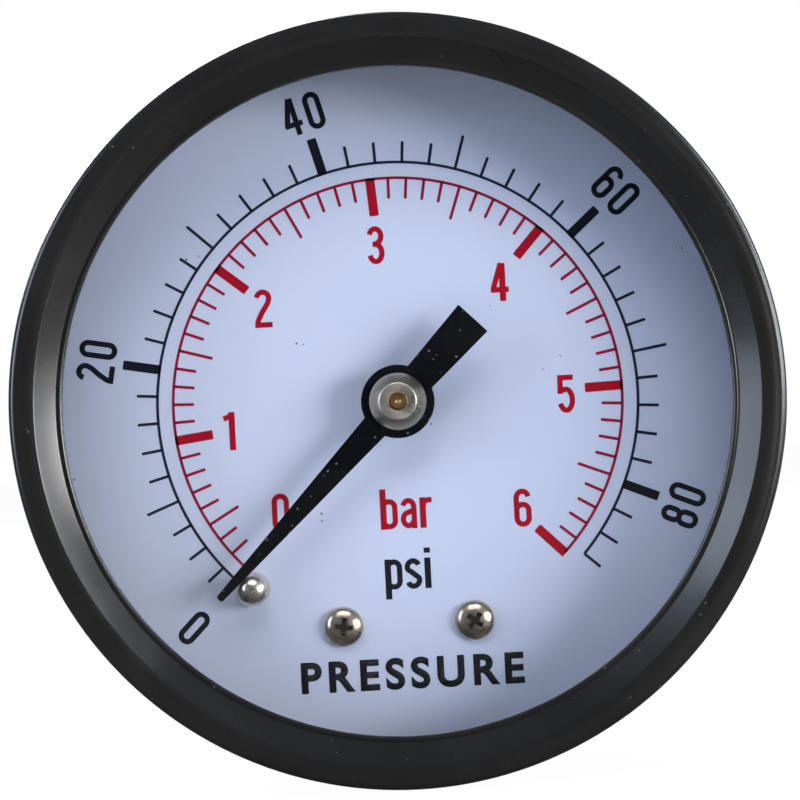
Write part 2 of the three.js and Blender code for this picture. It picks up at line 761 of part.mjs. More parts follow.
/** The inlet, the drilling that leads it into the tube, the tube's pocket and tapped holes. */
function socketCutters() {
  const inlet = post([0, 0], 2.5, 1, -8, 20);
  const throat = post([0, 0], 1.25, -7, -25.6);
  const start = new THREE.Vector3(0, -24.9, 0);
  const finish = new THREE.Vector3(-3.6, -28.5, -17.6);
  const way = finish.clone().sub(start);
  const drilling = closed(new THREE.CylinderGeometry(0.75, 0.75, way.length(), 12));
  const up = new THREE.Vector3(0, 1, 0);
  drilling.applyQuaternion(new THREE.Quaternion().setFromUnitVectors(up, way.clone().normalize()));
  drilling.translate(...start.clone().lerp(finish, 0.5).toArray());
  const inner = TUBE_RADIUS - TUBE_THICKNESS / 2 - 0.15;
  const outer = TUBE_RADIUS + TUBE_THICKNESS / 2 + 0.15;
  const pocket = plate(
    ringSector(inner, outer, TUBE_ROOT_ANGLE - 9, TUBE_ROOT_ANGLE + 3, 4),
    TUBE_MIDDLE + TUBE_WIDTH / 2 + 0.15,
    TUBE_WIDTH + 0.3,
  );
  const dialHoles = [-DIAL_SCREW_X, DIAL_SCREW_X].map((x) =>
    post([x, DIAL_SCREW_Z], 0.85, DIAL_BACK - 1, DIAL_BACK + 3.7),
  );
  const movementHoles = MOVEMENT_SCREWS.map((place) => post(place, 0.8, BOSS_FRONT - 1, BOSS_FRONT + 2.9));
  const caseHoles = [-CASE_SCREW_X, CASE_SCREW_X].map((x) => post([x, 0], 1.35, SEAT + 1, SEAT - 4));
  return [inlet, throat, drilling, pocket, ...dialHoles, ...movementHoles, ...caseHoles];
}

add('socket', cut(joined(stem(), innerBlock()), ...socketCutters()), 'brass');

export default gauge;
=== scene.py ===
"""A round pressure gauge with a 50 mm black case, a double scale and a back stem.

The frame's origin is the centre of the stem's end face. +Y runs out of the stem, the dial
looks towards -Y and +Z is 12 o'clock. Sizes are written in millimetres and angles in
degrees, anticlockwise from 3 o'clock as someone reading the dial sees them.
"""

from math import acos, atan2, cos, degrees, hypot, pi, radians, sin

import bpy
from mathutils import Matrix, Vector


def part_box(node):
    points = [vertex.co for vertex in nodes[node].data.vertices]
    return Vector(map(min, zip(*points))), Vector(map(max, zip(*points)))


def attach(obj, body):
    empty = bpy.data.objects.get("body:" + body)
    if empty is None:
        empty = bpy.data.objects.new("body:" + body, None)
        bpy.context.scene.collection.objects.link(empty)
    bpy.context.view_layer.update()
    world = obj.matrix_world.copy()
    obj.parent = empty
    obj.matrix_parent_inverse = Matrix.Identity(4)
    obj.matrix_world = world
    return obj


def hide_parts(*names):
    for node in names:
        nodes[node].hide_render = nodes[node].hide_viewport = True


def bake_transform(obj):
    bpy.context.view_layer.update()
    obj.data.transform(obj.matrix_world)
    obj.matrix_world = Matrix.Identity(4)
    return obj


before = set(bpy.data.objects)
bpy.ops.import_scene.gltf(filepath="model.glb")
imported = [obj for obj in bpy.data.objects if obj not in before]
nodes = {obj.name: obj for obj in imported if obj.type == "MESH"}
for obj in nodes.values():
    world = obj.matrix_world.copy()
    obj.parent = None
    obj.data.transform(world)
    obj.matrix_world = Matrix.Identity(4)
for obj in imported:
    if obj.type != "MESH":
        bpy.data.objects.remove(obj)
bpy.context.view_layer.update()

MM = 0.001


# ---- Case ----
# A cup pressed from 0.7 mm steel sheet, 50 mm across, with a rolled rim 53 mm across.
# The rim's crowned face falls inwards in a flat cone to the lip that holds the window.
# It is stoved in glossy black enamel, with the slight ripple and the dust that such paint has.

def polar(radius, angle, centre=(0, 0)):
    """The point at a radius and an angle from a centre."""
    turned_by = radians(angle)
    return (centre[0] + radius * cos(turned_by), centre[1] + radius * sin(turned_by))


def arc(centre, radius, start, end, steps):
    """Points along an arc, both ends included."""
    return [polar(radius, start + (end - start) * i / steps, centre) for i in range(steps + 1)]


def drop_selection():
    bpy.ops.object.select_all(action="DESELECT")


def apply_modifier(piece, kind, **settings):
    """Adds a modifier to a piece, sets it and applies it."""
    drop_selection()
    bpy.context.view_layer.objects.active = piece
    piece.select_set(True)
    modifier = piece.modifiers.new(kind.title(), kind)
    for name, value in settings.items():
        setattr(modifier, name, value)
    bpy.ops.object.modifier_apply(modifier=modifier.name)


def smooth(piece, angle=32):
    """Smooth shading up to an angle between faces, sharp edges above it."""
    drop_selection()
    bpy.context.view_layer.objects.active = piece
    piece.select_set(True)
    bpy.ops.object.shade_smooth_by_angle(angle=radians(angle))


def soften(piece, width, segments=2, angle=35):
    """Breaks the edges of a piece, as a tool or a press leaves them."""
    apply_modifier(
        piece, "BEVEL", width=width * MM, segments=segments, limit_method="ANGLE",
        angle_limit=radians(angle), miter_outer="MITER_ARC",
    )


def face_outwards():
    """In edit mode: merges what lies together and turns every face outwards."""
    bpy.ops.mesh.select_all(action="SELECT")
    bpy.ops.mesh.remove_doubles(threshold=1e-6)
    bpy.ops.mesh.normals_make_consistent(inside=False)


def half_outline(name, outline):
    """A line through (radius, depth) points, left open in edit mode."""
    drop_selection()
    bpy.ops.mesh.primitive_plane_add(size=MM)
    piece = bpy.context.object
    piece.name = piece.data.name = name
    bpy.ops.object.mode_set(mode="EDIT")
    bpy.ops.mesh.select_all(action="SELECT")
    bpy.ops.mesh.merge(type="CENTER")
    bpy.ops.transform.translate(value=(outline[0][0] * MM, outline[0][1] * MM, 0))
    for (radius, depth), (next_radius, next_depth) in zip(outline, outline[1:]):
        step = ((next_radius - radius) * MM, (next_depth - depth) * MM, 0)
        bpy.ops.mesh.extrude_region_move(TRANSFORM_OT_translate={"value": step})
    return piece


def turned(name, outline, place=(0, 0), steps=144, edge=0.0, angle=32):
    """A turned piece: half its outline, as (radius, depth) points, spun about its axis."""
    piece = half_outline(name, outline)
    bpy.ops.mesh.select_all(action="SELECT")
    bpy.ops.mesh.spin(steps=steps, angle=2 * pi, center=(0, 0, 0), axis=(0, 1, 0))
    face_outwards()
    bpy.ops.transform.translate(value=(place[0] * MM, 0, place[1] * MM))
    bpy.ops.object.mode_set(mode="OBJECT")
    if edge:
        soften(piece, edge)
    smooth(piece, angle)
    return piece


def finish(name, **sockets):
    """A material of one Principled shader with its plain sockets set."""
    material = bpy.data.materials.new(name)
    material.use_nodes = True
    shader = material.node_tree.nodes["Principled BSDF"]
    for socket, value in sockets.items():
        shader.inputs[socket.replace("_", " ")].default_value = value
    return material.node_tree, shader


def node(tree, kind, sockets=(), **settings):
    """Adds a shader node. Sockets are given by name or number, as a value or as a link."""
    made = tree.nodes.new("ShaderNode" + kind)
    for name, value in settings.items():
        setattr(made, name, value)
    for socket, value in dict(sockets).items():
        if isinstance(value, bpy.types.NodeSocket):
            tree.links.new(value, made.inputs[socket])
        else:
            made.inputs[socket].default_value = value
    return made.outputs[0]


def spread(tree, value, low, high, to_low, to_high):
    """Maps a value from one span to another, held at the ends."""
    return node(tree, "MapRange", {0: value, 1: low, 2: high, 3: to_low, 4: to_high})


def noise(tree, place, scale, detail=3.0, roughness=0.5):
    return node(tree, "TexNoise", {"Vector": place, "Scale": scale, "Detail": detail,
                                   "Roughness": roughness})


def object_place(tree):
    """The place on the piece, in metres in the frame."""
    return tree.nodes.new("ShaderNodeTexCoord").outputs["Object"]


def dust_grains(tree, place, scale, share):
    """1 on sparse small grains and 0 between them."""
    spots = node(tree, "TexVoronoi", {"Vector": place, "Scale": scale, "Randomness": 1.0})
    here = spread(tree, spots, 0.06, 0.16, 1.0, 0.0)
    patches = noise(tree, place, scale * 0.21, 2.0)
    chosen = spread(tree, patches, 1 - share, 1 - share + 0.03, 0.0, 1.0)
    return node(tree, "Math", {0: here, 1: chosen}, operation="MULTIPLY")


def mix_colours(tree, share, low, high):
    """Blends two colours. A mixing node's colour sockets have fixed numbers."""
    mixer = tree.nodes.new("ShaderNodeMix")
    mixer.data_type = "RGBA"
    for socket, value in ((0, share), (6, low), (7, high)):
        if isinstance(value, bpy.types.NodeSocket):
            tree.links.new(value, mixer.inputs[socket])
        else:
            mixer.inputs[socket].default_value = value
    return mixer.outputs[2]


def wear(piece, tree):
    """Gives a piece the material whose node tree this is, as its only one."""
    material = next(m for m in bpy.data.materials if m.node_tree == tree)
    piece.data.materials.clear()
    piece.data.materials.append(material)


rim_radius, body_radius, wall = 26.5, 25.0, 0.7
back_face, rim_face, dial_back = -22.3, -50.3, -40.3
lip_radius, stem_hole = 22.95, 8.2
case_outline = (
    [(stem_hole, back_face), (14.0, back_face), (14.25, back_face - 0.12), (20.6, back_face - 0.12),
     (20.85, back_face)]
    + arc((body_radius - 1.8, back_face - 1.8), 1.8, 90, 0, 10)
    + arc((body_radius + 0.6, -46.9), 0.6, 180, 250, 5)
    + arc((25.8, -48.15), 0.7, 55, -5, 5)
    + arc((25.97, -49.72), 0.53, 8, -78, 8)
    + arc((25.45, -48.1), 2.2, -76, -108, 6)
    + arc((24.86, -49.93), 0.22, -112, -132, 3)
    + [(23.47, -48.92), (23.4, -48.88)]
    + arc((23.17, -48.72), 0.22, -50, -180, 8)
    + [(lip_radius, -48.5), (24.25, -48.5), (24.25, dial_back), (body_radius - wall, dial_back)]
    + arc((body_radius - 1.8, back_face - 1.8), 1.8 - wall, 0, 90, 6)
    + [(stem_hole, back_face - wall), (stem_hole, back_face)]
)
gauge_case = turned("gauge_case", case_outline, steps=192, angle=24)

enamel, enamel_shader = finish(
    "black_enamel", Roughness=0.26, IOR=1.5, Coat_Weight=0.25, Coat_Roughness=0.25,
)
place = object_place(enamel)
cloud = noise(enamel, place, 140, 4.0)
ripple = noise(enamel, place, 1100, 2.0)
grains = dust_grains(enamel, place, 1500, 0.38)
paint = mix_colours(enamel, cloud, (0.01, 0.0095, 0.0092, 1), (0.016, 0.015, 0.014, 1))
paint = mix_colours(enamel, grains, paint, (0.09, 0.085, 0.08, 1))
enamel.links.new(paint, enamel_shader.inputs["Base Color"])
sheen_change = spread(enamel, cloud, 0.3, 0.7, 0.2, 0.34)
enamel.links.new(sheen_change, enamel_shader.inputs["Roughness"])
orange_peel = node(enamel, "Bump", {"Height": ripple, "Strength": 0.1, "Distance": 0.05 * MM})
enamel.links.new(orange_peel, enamel_shader.inputs["Normal"])
wear(gauge_case, enamel)
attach(gauge_case, "root")
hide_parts("case")


# ---- Case screws ----
# Two nickel-plated cross-head screws that hold the case's back to the ears of the socket.
# The head is a low dome with a cross recess, and its shank goes into the socket's ear.

def cut(piece, *tools):
    """Cuts the tools' shapes out of a piece and removes the tools."""
    for tool in tools:
        apply_modifier(piece, "BOOLEAN", operation="DIFFERENCE", object=tool, solver="EXACT")
        bpy.data.objects.remove(tool)


def cross_tool(size, place, face, bottom, start=0):
    """The shape of a cross recess: two crossed wings that narrow towards the bottom."""
    wings = []
    for turn in (start, start + 90):
        drop_selection()
        bpy.ops.mesh.primitive_cube_add(size=MM)
        wing = bpy.context.object
        wing.scale = (size, abs(face - bottom), size * 0.26)
        wing.rotation_euler = (0, radians(turn), 0)
        wing.location = (place[0] * MM, (face + bottom) / 2 * MM, place[1] * MM)
        bpy.ops.object.transform_apply(location=True, rotation=True, scale=True)
        for vertex in wing.data.vertices:
            if abs(vertex.co.y - bottom * MM) < 1e-6:
                vertex.co.x += (place[0] * MM - vertex.co.x) * 0.5
                vertex.co.z += (place[1] * MM - vertex.co.z) * 0.5
        wings.append(wing)
    apply_modifier(wings[0], "BOOLEAN", operation="UNION", object=wings[1], solver="EXACT")
    bpy.data.objects.remove(wings[1])
    return wings[0]


def domed_screw(name, place, head, height, shank, length, under, towards, turn=0):
    """A cross-head screw along Y, its head towards -1, the dial, or +1, the back."""
    dome = [(head * cos(radians(a)), under + towards * height * (0.3 + 0.7 * sin(radians(a))))
            for a in range(90, -1, -10)]
    outline = dome + [
        (head, under), (shank, under), (shank, under - towards * (length - 0.3)),
        (shank - 0.3, under - towards * length), (0, under - towards * length),
    ]
    screw = turned(name, [(abs(r), y) for r, y in outline], place, 64)
    cut(screw, cross_tool(head * 1.2, place, under + towards * (height + 0.4),
                          under + towards * height * 0.3, turn))
    soften(screw, 0.035, 2, 40)
    smooth(screw, 40)
    return screw


def bright_metal(name, place, light, dark, roughness, marks=9000, depth=0.004, tarnish=0.25,
                 grooved=0.0, shade_depth=None):
    """Machined or plated metal with turning marks round the axis at a place. Painted shade,
    a dark brown tone, lies deeper than the given depth, within a millimetre of that axis."""
    tree, shader = finish(name, Metallic=1.0, Roughness=roughness, IOR=1.5, Anisotropic=grooved)
    if grooved:
        around = node(tree, "Tangent", direction_type="RADIAL", axis="Y")
        tree.links.new(around, shader.inputs["Tangent"])
    here = object_place(tree)
    centred = node(tree, "Mapping", {"Vector": here,
                                     "Location": (-place[0] * MM, 0, -place[1] * MM)})
    parts = node(tree, "SeparateXYZ", {0: centred})
    depth_along = parts.node.outputs[1]
    flat = node(tree, "VectorMath", {0: centred, 1: (1, 0, 1)}, operation="MULTIPLY")
    radius = node(tree, "VectorMath", {0: flat}, operation="LENGTH").node.outputs["Value"]
    rings_place = node(tree, "CombineXYZ", {0: radius, 1: depth_along})
    rings = noise(tree, rings_place, marks, 2.0)
    stains = noise(tree, here, 420, 4.0, 0.6)
    shade = spread(tree, stains, 0.5 - tarnish, 0.5 + tarnish, 0.0, 1.0)
    colour = mix_colours(tree, shade, dark, light)
    # Painted shade in a recess: the colour turns dark brown deeper than the given depth, near the
    # axis.
    if shade_depth:
        deep = spread(tree, depth_along, (shade_depth - 0.03) * MM, (shade_depth + 0.03) * MM, 0.0, 1.0)
        near = spread(tree, radius, 0.95 * MM, 1.0 * MM, 0.75, 0.0)
        recess_shade = node(tree, "Math", {0: deep, 1: near}, operation="MULTIPLY")
        colour = mix_colours(tree, recess_shade, colour, (0.09, 0.06, 0.035, 1))
    tree.links.new(colour, shader.inputs["Base Color"])
    polish = spread(tree, stains, 0.3, 0.7, roughness * 1.25, roughness * 0.8)
    tree.links.new(polish, shader.inputs["Roughness"])
    bump = node(tree, "Bump", {"Height": rings, "Strength": 0.5, "Distance": depth * MM})
    tree.links.new(bump, shader.inputs["Normal"])
    return tree


NICKEL = ((0.86, 0.8, 0.7, 1), (0.62, 0.55, 0.45, 1))
# A darker copy of the nickel: painted shade for the dark reflections on the small screws' heads.
# The bush takes its light tone for its darker stains.
SHADED_NICKEL = ((0.7, 0.62, 0.5, 1), (0.36, 0.29, 0.21, 1))
BRASS = ((0.79, 0.58, 0.26, 1), (0.6, 0.42, 0.17, 1))
BRONZE = ((0.68, 0.46, 0.25, 1), (0.5, 0.32, 0.17, 1))
COPPERY = ((0.62, 0.36, 0.14, 1), (0.36, 0.18, 0.07, 1))
STEEL = ((0.6, 0.61, 0.62, 1), (0.42, 0.42, 0.43, 1))

case_screw_x = 11
for side, x in (("left", -case_screw_x), ("right", case_screw_x)):
    screw = domed_screw(f"back_screw_{side}", (x, 0), 2.75, 1.7, 1.2, 4.4, back_face + 0.05, 1)
    wear(screw, bright_metal(f"nickel_{side}_back_screw", (x, 0), *NICKEL, 0.24))
    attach(screw, "root")
    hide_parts(f"case_screw_{side}")


# ---- Window ----
# A clear polycarbonate disc, 1.5 mm thick, that snaps in behind the rim's lip. A thin
# skirt runs back from its edge and stops just short of the dial.

window_front, window_radius, window_thickness = -48.4, 24.15, 1.5
window_back = window_front + window_thickness
skirt = window_radius - 0.15
skirt_end = dial_back - 0.5 - 0.2
window = turned("clear_window", [
    (0, window_front), (window_radius - 0.3, window_front), (window_radius - 0.1, window_front),
    (window_radius, window_front + 0.1), (window_radius, window_front + 1),
    (skirt, window_front + 1.15), (skirt, skirt_end),
    (skirt - 0.17, skirt_end), (skirt - 0.2, window_back + 0.2),
    (skirt - 0.26, window_back + 0.06), (skirt - 0.34, window_back),
    (skirt - 0.5, window_back), (0, window_back),
], steps=192, angle=30)

pane, pane_shader = finish(
    "clear_polycarbonate", Base_Color=(0.97, 0.98, 1.0, 1), Roughness=0.0, IOR=1.45,
    Transmission_Weight=1.0,
)
place = object_place(pane)
smears = noise(pane, place, 60, 3.0)
pane.links.new(spread(pane, smears, 0.45, 0.75, 0.0, 0.02), pane_shader.inputs["Roughness"])
clear = node(pane, "BsdfTransparent", {"Color": (0.96, 0.97, 0.98, 1)})
rays = pane.nodes.new("ShaderNodeLightPath")
lets_through = node(pane, "Math", {0: rays.outputs["Is Shadow Ray"],
                                   1: rays.outputs["Is Diffuse Ray"]}, operation="MAXIMUM")
blend_of_both = pane.nodes.new("ShaderNodeMixShader")
pane.links.new(lets_through, blend_of_both.inputs[0])
pane.links.new(pane_shader.outputs[0], blend_of_both.inputs[1])
pane.links.new(clear, blend_of_both.inputs[2])
pane.links.new(blend_of_both.outputs[0], pane.nodes["Material Output"].inputs["Surface"])
wear(window, pane)
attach(window, "root")
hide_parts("window")


# ---- Dial ----
# A disc of 0.5 mm aluminium sheet with a satin white ground, held by two screws to the
# socket's block. The pointer's shaft comes through the hole in its middle.

dial_face = dial_back - 0.5
dial = turned("dial_disc", [
    (2.3, dial_back), (24, dial_back), (24, dial_face), (2.3, dial_face), (2.3, dial_back),
], steps=192, edge=0.05)

ground, ground_shader = finish(
    "white_dial_ground", Roughness=0.42, IOR=1.46, Specular_IOR_Level=0.35,
)
place = object_place(ground)
blotches = noise(ground, place, 70, 3.0)
fibres = noise(ground, place, 5200, 2.0)
grains = dust_grains(ground, place, 1500, 0.34)
white = mix_colours(ground, blotches, (0.59, 0.645, 0.825, 1), (0.62, 0.67, 0.84, 1))
white = mix_colours(ground, grains, white, (0.07, 0.07, 0.09, 1))
ground.links.new(white, ground_shader.inputs["Base Color"])
ground.links.new(spread(ground, blotches, 0.3, 0.7, 0.38, 0.48), ground_shader.inputs["Roughness"])
tooth = node(ground, "Bump", {"Height": fibres, "Strength": 0.15, "Distance": 0.01 * MM})
ground.links.new(tooth, ground_shader.inputs["Normal"])
wear(dial, ground)
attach(dial, "root")
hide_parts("dial")


# ---- Scales ----
# Screen-printed ink, a few hundredths of a millimetre thick: a red bar scale whose marks
# point inwards from their arc, and a black psi scale whose marks point outwards.
# 0 lies at 233.4 degrees, one bar is 46.4 degrees, and 6 bar lies at -45 degrees.

ink_front = dial_face - 0.02
zero_angle, bar_step, psi_step = 233.4, -46.4, -3.2035
scale_start, line_width = 225.0, 0.2
thin_width, thick_width = 0.21, 0.66
short_mark, long_mark, thick_mark = 1.48, 2.45, 2.62


def join(pieces, name):
    """Joins pieces into one, under a new name."""
    drop_selection()
    for piece in pieces:
        piece.select_set(True)
    bpy.context.view_layer.objects.active = pieces[0]
    if len(pieces) > 1:
        bpy.ops.object.join()
    pieces[0].name = pieces[0].data.name = name
    return pieces[0]


def plate(name, outline, back, front):
    """A flat piece: its outline, as (x, z) points, filled and extruded along the depth."""
    drop_selection()
    bpy.ops.mesh.primitive_circle_add(vertices=len(outline), radius=MM, fill_type="NGON")
    piece = bpy.context.object
    piece.name = piece.data.name = name
    for vertex, (x, z) in zip(piece.data.vertices, outline):
        vertex.co = (x * MM, back * MM, z * MM)
    bpy.ops.object.mode_set(mode="EDIT")
    bpy.ops.mesh.select_all(action="SELECT")
    step = (0, (front - back) * MM, 0)
    bpy.ops.mesh.extrude_region_move(TRANSFORM_OT_translate={"value": step})
    face_outwards()
    bpy.ops.object.mode_set(mode="OBJECT")
    return piece


def mark(angle, start, end, width):
    """One printed mark across the arc, its free end slightly rounded."""
    away = 1 if end > start else -1
    half = width / 2
    corner = min(half, 0.07)
    inset = corner * 0.3
    shape = [(start, -half), (end - away * corner, -half), (end - away * inset, -half + inset),
             (end, -half + corner), (end, half - corner), (end - away * inset, half - inset),
             (end - away * corner, half), (start, half)]
    along, across = radians(angle), radians(angle + 90)
    outline = [(r * cos(along) + w * cos(across), r * sin(along) + w * sin(across))
               for r, w in shape]
    return plate("mark", outline, dial_face, ink_front)


def scale_line(radius, start, end):
    """One printed arc."""
    steps = 120
    outline = (arc((0, 0), radius - line_width / 2, start, end, steps)
               + arc((0, 0), radius + line_width / 2, end, start, steps))
    return plate("line", outline, dial_face, ink_front)


def ink(name, colour, worn):
    """Printed ink: slightly uneven, a little glossier than the ground."""
    tree, shader = finish(name, Roughness=0.45, IOR=1.48, Specular_IOR_Level=0.1)
    here = object_place(tree)
    uneven = noise(tree, here, 2600, 3.0, 0.6)
    tree.links.new(mix_colours(tree, uneven, colour, worn), shader.inputs["Base Color"])
    tree.links.new(spread(tree, uneven, 0.3, 0.7, 0.32, 0.5), shader.inputs["Roughness"])
    bump = node(tree, "Bump", {"Height": uneven, "Strength": 0.2, "Distance": 0.008 * MM})
    tree.links.new(bump, shader.inputs["Normal"])
    return tree


def printed(piece, tree):
    """Puts a printed piece on the dial, with its ink."""
    wear(piece, tree)
    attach(piece, "root")


black_ink = ink("black_ink", (0.006, 0.0065, 0.011, 1), (0.012, 0.013, 0.02, 1))
navy_ink = ink("thin_black_ink", (0.012, 0.014, 0.035, 1), (0.02, 0.022, 0.05, 1))
red_ink = ink("red_ink", (0.33, 0.0025, 0.014, 1), (0.43, 0.006, 0.022, 1))
thin_red_ink = ink("thin_red_ink", (0.26, 0.004, 0.035, 1), (0.36, 0.01, 0.05, 1))

psi_radius, bar_radius = 17.05, 15.93
thin, thick = [scale_line(psi_radius, scale_start, zero_angle + 86 * psi_step)], []
for psi in range(4, 87, 2):
    angle = zero_angle + psi * psi_step
    if psi % 20 == 0:
        thick.append(mark(angle, psi_radius - 0.09, psi_radius + thick_mark, thick_width))
    else:
        length = long_mark if psi % 10 == 0 else short_mark
        thin.append(mark(angle, psi_radius, psi_radius + length, thin_width))
printed(join(thin, "psi_scale_lines"), navy_ink)
printed(join(thick, "psi_scale_thick_marks"), black_ink)

thin, thick = [scale_line(bar_radius, scale_start, zero_angle + 6 * bar_step)], []
for tenth in range(2, 61):
    angle = zero_angle + tenth / 10 * bar_step
    if tenth % 10 == 0:
        thick.append(mark(angle, bar_radius + 0.09, bar_radius - thick_mark, thick_width))
    else:
        length = long_mark if tenth % 5 == 0 else short_mark
        thin.append(mark(angle, bar_radius, bar_radius - length, thin_width))
printed(join(thin, "bar_scale_lines"), thin_red_ink)
printed(join(thick, "bar_scale_thick_marks"), red_ink)


# ---- Figures and unit letters ----
# Printed in a narrow technical lettering of one stroke width. Red figures stand upright
# inside the bar scale, and black figures stand along the psi scale.

stroke, figure_size = 0.44, 1.03
round_steps = 14


def bowl(centre, across, up, start, end):
    """Points along part of an upright ellipse."""
    return [(centre[0] + across * cos(radians(start + (end - start) * i / round_steps)),
             centre[1] + up * sin(radians(start + (end - start) * i / round_steps)))
            for i in range(round_steps + 1)]


def stadium(centre, across, up):
    """A closed upright ring with straight sides."""
    x, z = centre
    straight = up - across
    return (bowl((x, z + straight), across, across, 0, 180)
            + bowl((x, z - straight), across, across, 180, 360) + [(x + across, z + straight)])


FIGURES = {
    "0": [stadium((0, 0), 0.415, 1.13)],
    "1": [[(0.16, -1.31), (0.16, 1.31)], [(0.2, 1.18), (-0.06, 0.98), (-0.4, 0.86)]],
    "2": [bowl((0, 0.7), 0.42, 0.43, 172, -18)
          + [(0.3, 0.3), (-0.1, -0.3), (-0.38, -0.85), (-0.43, -1.2)],
          [(-0.6, -1.13), (0.6, -1.13)]],
    "3": [bowl((0, 0.62), 0.4, 0.51, 165, -78), bowl((0, -0.54), 0.42, 0.59, 80, -165),
          [(-0.2, 0.07), (0.12, 0.07)]],
    "4": [[(0.2, -1.31), (0.2, 1.31)], [(0.12, 1.31), (-0.46, -0.5)],
          [(-0.62, -0.52), (0.62, -0.52)]],
    "5": [[(-0.5, 1.13), (0.52, 1.13)], [(-0.36, 1.31), (-0.4, 0.02)],
          bowl((-0.01, -0.4), 0.43, 0.73, 125, -160)],
    "6": [bowl((0, 0.68), 0.415, 0.45, 10, 180) + [(-0.415, -0.6)],
          stadium((0, -0.45), 0.415, 0.68)],
    "8": [stadium((0, 0.58), 0.37, 0.55), stadium((0, -0.54), 0.42, 0.59)],
    "b": [[(-0.38, -1.05), (-0.38, 1.73)], stadium((0.02, 0), 0.4, 0.86)],
    "a": [bowl((0, 0.42), 0.37, 0.45, 165, 0) + [(0.37, -1.05)],
          [(0.37, 0.2), (0.08, 0.1)] + bowl((0.02, -0.4), 0.4, 0.46, 100, 260)
          + [(0.1, -0.82), (0.37, -0.55)]],
    "r": [[(-0.22, -1.05), (-0.22, 1.05)],
          [(-0.2, 0.45), (-0.08, 0.75), (0.16, 0.86), (0.42, 0.86)]],
    "p": [[(-0.38, -1.7), (-0.38, 1.05)], stadium((0.02, 0), 0.4, 0.86)],
    "s": [bowl((0, 0.44), 0.4, 0.43, 20, 200) + [(-0.1, 0.1), (0.18, -0.14)]
          + bowl((0, -0.44), 0.4, 0.43, 20, -160)],
    "i": [[(0, -1.05), (0, 1.05)], [(0, 1.38), (0, 1.74)]],
}
advance = {"b": 1.4, "a": 1.4, "r": 1.08, "p": 1.4, "s": 1.4, "i": 0.66}


def figure(sign, centre, turn, width=stroke):
    """One printed figure or letter, drawn with a pen as a curve and pressed flat."""
    drop_selection()
    bpy.ops.curve.primitive_bezier_curve_add()
    drawn = bpy.context.object
    drawn.data.splines.clear()
    drawn.data.dimensions = "3D"
    drawn.data.bevel_depth = width / 2 * MM
    drawn.data.bevel_resolution = 1
    drawn.data.use_fill_caps = True
    turned_by = radians(turn)
    for points in FIGURES[sign]:
        closed = points[0] == points[-1] or hypot(
            points[0][0] - points[-1][0], points[0][1] - points[-1][1]) < 1e-6
        points = points[:-1] if closed else points
        spline = drawn.data.splines.new("POLY")
        spline.points.add(len(points) - 1)
        spline.use_cyclic_u = closed
        for point, (x, z) in zip(spline.points, points):
            x, z = x * figure_size, z * figure_size
            point.co = (
                (centre[0] + x * cos(turned_by) - z * sin(turned_by)) * MM, 0,
                (centre[1] + x * sin(turned_by) + z * cos(turned_by)) * MM, 1,
            )
    bpy.ops.object.convert(target="MESH")
    drawn = bpy.context.object
    drawn.scale = (1, 0.02 / width, 1)
    drawn.location = (0, (dial_face - 0.012) * MM, 0)
    bpy.ops.object.transform_apply(location=True, rotation=True, scale=True)
    bpy.ops.object.mode_set(mode="EDIT")
    face_outwards()
    bpy.ops.object.mode_set(mode="OBJECT")
    smooth(drawn, 60)
    return drawn


def word(letters, centre, width):
    """Letters side by side round a centre."""
    steps = [advance[letter] for letter in letters]
    whole = sum(steps)
    made, x = [], centre[0] - whole / 2
    for letter, step in zip(letters, steps):
        made.append(figure(letter, (x + step / 2, centre[1]), 0, width))
        x += step
    return made


bar_figures = {"0": (-8.7, -7.4), "1": (-12.0, -1.45), "2": (-9.2, 7.12), "3": (-1.0, 11.2),
               "4": (7.65, 8.12), "5": (11.95, -0.05), "6": (8.45, -7.95)}
red_pieces = [figure(sign, centre, 0) for sign, centre in bar_figures.items()]
printed(join(red_pieces, "bar_figures"), red_ink)
printed(join(word("bar", (0.2, -7.92), 0.44), "bar_letters"), red_ink)

label_radius, letter_gap = 21.55, 1.66
black_pieces = [figure("0", polar(label_radius, 225), 225 - 90)]
for psi, flipped in ((20, False), (40, False), (60, False), (80, True)):
    angle = zero_angle + psi * psi_step
    upright = angle + 90 if flipped else angle - 90
    side = (cos(radians(upright)), sin(radians(upright)))
    middle = polar(label_radius, angle)
    for sign, offset in ((str(psi)[0], -letter_gap / 2), ("0", letter_gap / 2)):
        centre = (middle[0] + side[0] * offset, middle[1] + side[1] * offset)
        black_pieces.append(figure(sign, centre, upright))
printed(join(black_pieces, "psi_figures"), black_ink)
printed(join(word("psi", (0.1, -12.2), 0.44), "psi_letters"), black_ink)


# ---- Word on the dial ----
# One generic word in plain bold capitals across the foot of the dial.

drop_selection()
bpy.ops.object.text_add(rotation=(pi / 2, 0, 0))
lettering = bpy.context.object
lettering.data.body = "PRESSURE"
lettering.data.align_x = lettering.data.align_y = "CENTER"
lettering.data.size = 2.95 * MM
lettering.data.offset = 0.1 * MM
lettering.data.space_character = 1.3
bpy.ops.object.convert(target="MESH")
lettering = bpy.context.object
lettering.location = (0, ink_front * MM, -19.35 * MM)
bpy.ops.object.transform_apply(location=True, rotation=True, scale=True)
apply_modifier(lettering, "SOLIDIFY", thickness=0.02 * MM, offset=0)
printed(join([lettering], "dial_word"), black_ink)


# ---- Stop pin and dial screws ----
# A bright domed pin riveted through the dial, which the pointer rests against at zero, and
# two small domed cross-head screws that hold the dial. All three are nickel plated, and
# the screws' recesses have painted shade, a dark brown tone.

